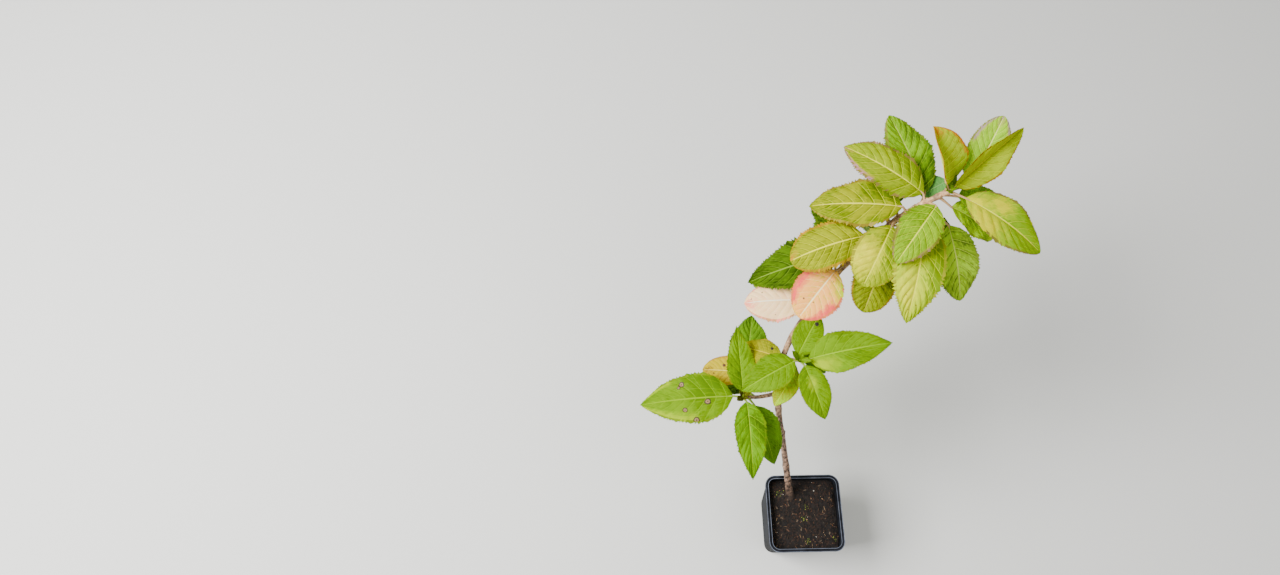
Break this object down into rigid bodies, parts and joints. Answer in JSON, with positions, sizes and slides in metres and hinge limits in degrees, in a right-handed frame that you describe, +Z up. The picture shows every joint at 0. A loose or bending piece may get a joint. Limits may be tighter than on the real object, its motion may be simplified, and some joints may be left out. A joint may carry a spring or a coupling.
{
  "type": "potted hydrangea",
  "caption": "Young leggy hydrangea in a square nursery pot: one leaning woody stem with two short side shoots and large oval leaves gathered at the tips.",
  "frame": {"origin": "middle of the pot's flat underside", "axes": "+Z up; the pot's flat sides face along X and Y; the stem leans towards +Y, away from the side the picture was taken from"},
  "size_m": [0.4705, 0.4775, 0.5548],
  "materials": {
    "pot": "thin black moulded polypropylene, slightly dusty",
    "compost": "moist peat and bark compost, crumbly, with specks of moss",
    "stems": "pale brown bark with leaf scars and small pores",
    "pink_leaves": "leaf turned cream and pink, soft and matt",
    "crown_leaves": "yellow-green leaf, quilted between its veins, low sheen",
    "side_leaves": "fresh green leaf, quilted between its veins, low sheen"
  },
  "bodies": {
    "root": {"pot": "pot", "compost": "compost", "main_stem": "stems", "upper_stem": "stems", "left_shoot": "stems", "right_shoot": "stems", "pink_leaves": "pink_leaves", "lower_crown": "crown_leaves", "middle_crown": "crown_leaves", "top_crown": "crown_leaves", "left_leaves": "side_leaves", "right_leaves": "side_leaves"}
  },
  "joints": []
}
